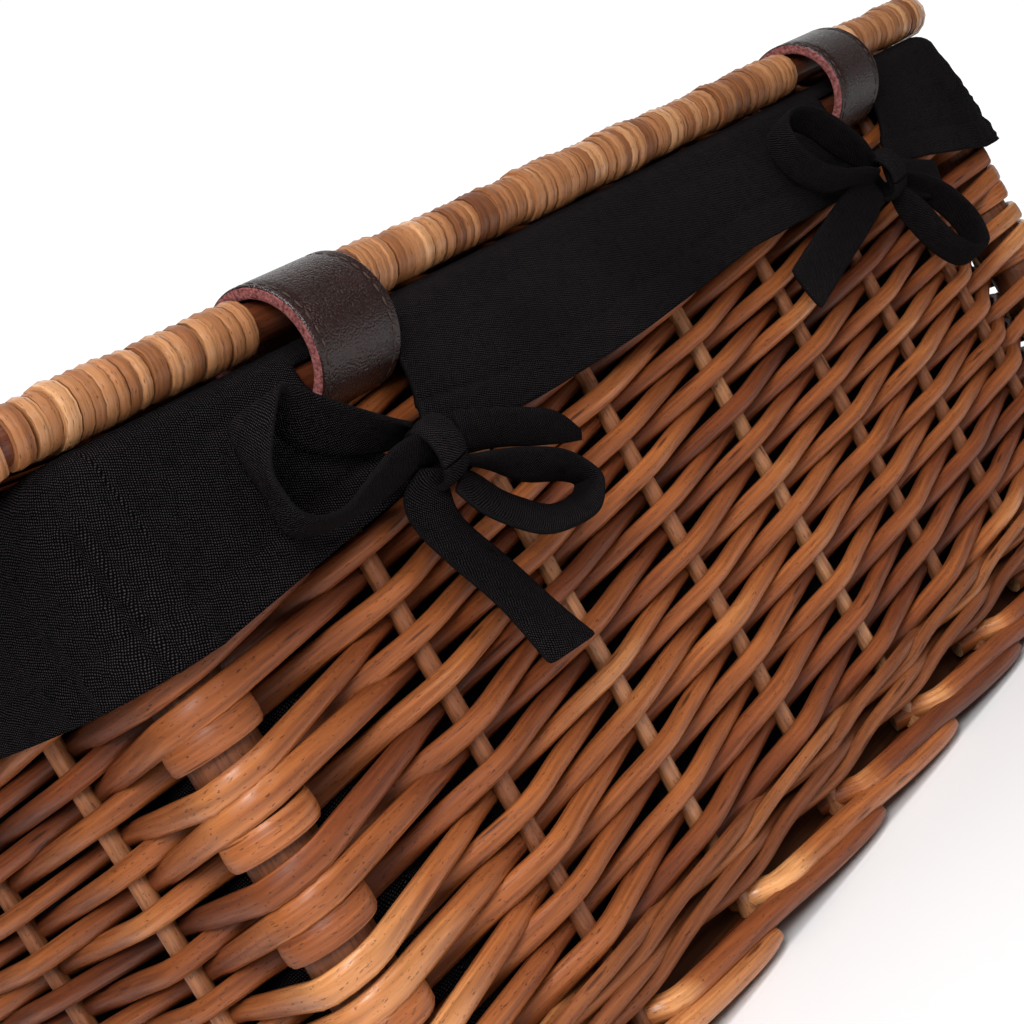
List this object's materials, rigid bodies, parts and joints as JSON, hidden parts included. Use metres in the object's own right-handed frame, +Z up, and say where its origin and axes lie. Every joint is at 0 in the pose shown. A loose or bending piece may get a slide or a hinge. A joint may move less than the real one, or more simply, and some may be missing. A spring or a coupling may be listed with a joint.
{
  "type": "picnic basket",
  "caption": "Rectangular woven willow picnic basket with a hinged lid on leather loops and a dark cloth lining folded out over the rim and tied with bows.",
  "frame": {"origin": "on the ground, at the middle of the whole basket's box", "axes": "+Z up, +X along the basket's length, +Y towards the hinge side"},
  "size_m": [0.4202, 0.3136, 0.1801],
  "materials": {
    "weave": "satin stained willow rods",
    "stake": "satin stained willow rods",
    "skein": "satin split willow",
    "rod": "satin stained willow",
    "cloth": "matt plain woven cotton",
    "leather": "satin grained leather"
  },
  "bodies": {
    "basket": {"foot_border": "weave", "base_panel": "weave", "wall_back": "weave", "wall_front": "weave", "wall_right": "weave", "wall_left": "weave", "corner_wrap_1": "weave", "corner_wrap_2": "weave", "corner_wrap_3": "weave", "corner_wrap_4": "weave", "corner_post_1": "stake", "corner_post_2": "stake", "corner_post_3": "stake", "corner_post_4": "stake", "stake_back_1": "stake", "stake_back_2": "stake", "stake_back_3": "stake", "stake_back_4": "stake", "stake_back_5": "stake", "stake_back_6": "stake", "stake_back_7": "stake", "stake_front_1": "stake", "stake_front_2": "stake", "stake_front_3": "stake", "stake_front_4": "stake", "stake_front_5": "stake", "stake_front_6": "stake", "stake_front_7": "stake", "stake_right_1": "stake", "stake_right_2": "stake", "stake_right_3": "stake", "stake_right_4": "stake", "stake_right_5": "stake", "stake_left_1": "stake", "stake_left_2": "stake", "stake_left_3": "stake", "stake_left_4": "stake", "stake_left_5": "stake", "rim_back": "rod", "rim_front": "rod", "rim_right": "rod", "rim_left": "rod", "lining": "cloth", "bow_right": "cloth", "bow_left": "cloth", "hinge_loop_right": "leather", "hinge_loop_left": "leather"},
    "lid": {"lid_rod": "rod", "binding_middle": "skein", "binding_right": "skein", "binding_left": "skein", "binding_front": "skein", "lid_panel": "weave"}
  },
  "joints": [
    {"name": "lid_hinge", "type": "hinge", "parent": "basket", "child": "lid", "pos_m": [0, 0.12935, 0.1723], "axis": [-1, 0, 0], "range_deg": [0, 110]}
  ]
}
